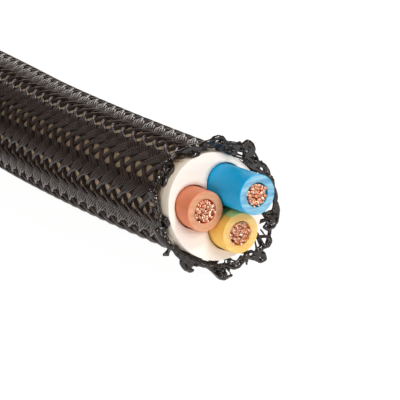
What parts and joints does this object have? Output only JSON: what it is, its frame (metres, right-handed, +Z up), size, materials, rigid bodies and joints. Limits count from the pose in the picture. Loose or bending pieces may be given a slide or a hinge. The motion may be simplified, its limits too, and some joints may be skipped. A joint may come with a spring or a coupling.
{
  "type": "braided cable sleeve",
  "caption": "Length of round braided monofilament sleeving fitted over a white three-core flexible cable, cut at one end with its cores showing, spare length coiled flat.",
  "frame": {"origin": "on the floor, under the middle of the bounding box", "axes": "+Z up from the floor the cable lies on, +X the way the cut end points, the coil on the -Y side of the tail"},
  "size_m": [0.1588, 0.1498, 0.0119],
  "materials": {
    "braid": "black polyester monofilament, satin gloss",
    "jacket": "white flexible PVC, matt, knife cut",
    "insulation_blue": "light blue PVC, satin",
    "insulation_brown": "light brown PVC, satin",
    "insulation_green_yellow": "yellow PVC with a green stripe, satin",
    "conductor": "bare bright copper strands, cut"
  },
  "bodies": {
    "root": {"braided_sleeve": "braid", "cable_jacket": "jacket", "core_insulation_blue": "insulation_blue", "conductor_blue": "conductor", "core_insulation_brown": "insulation_brown", "conductor_brown": "conductor", "core_insulation_green_yellow": "insulation_green_yellow", "conductor_green_yellow": "conductor"}
  },
  "joints": []
}
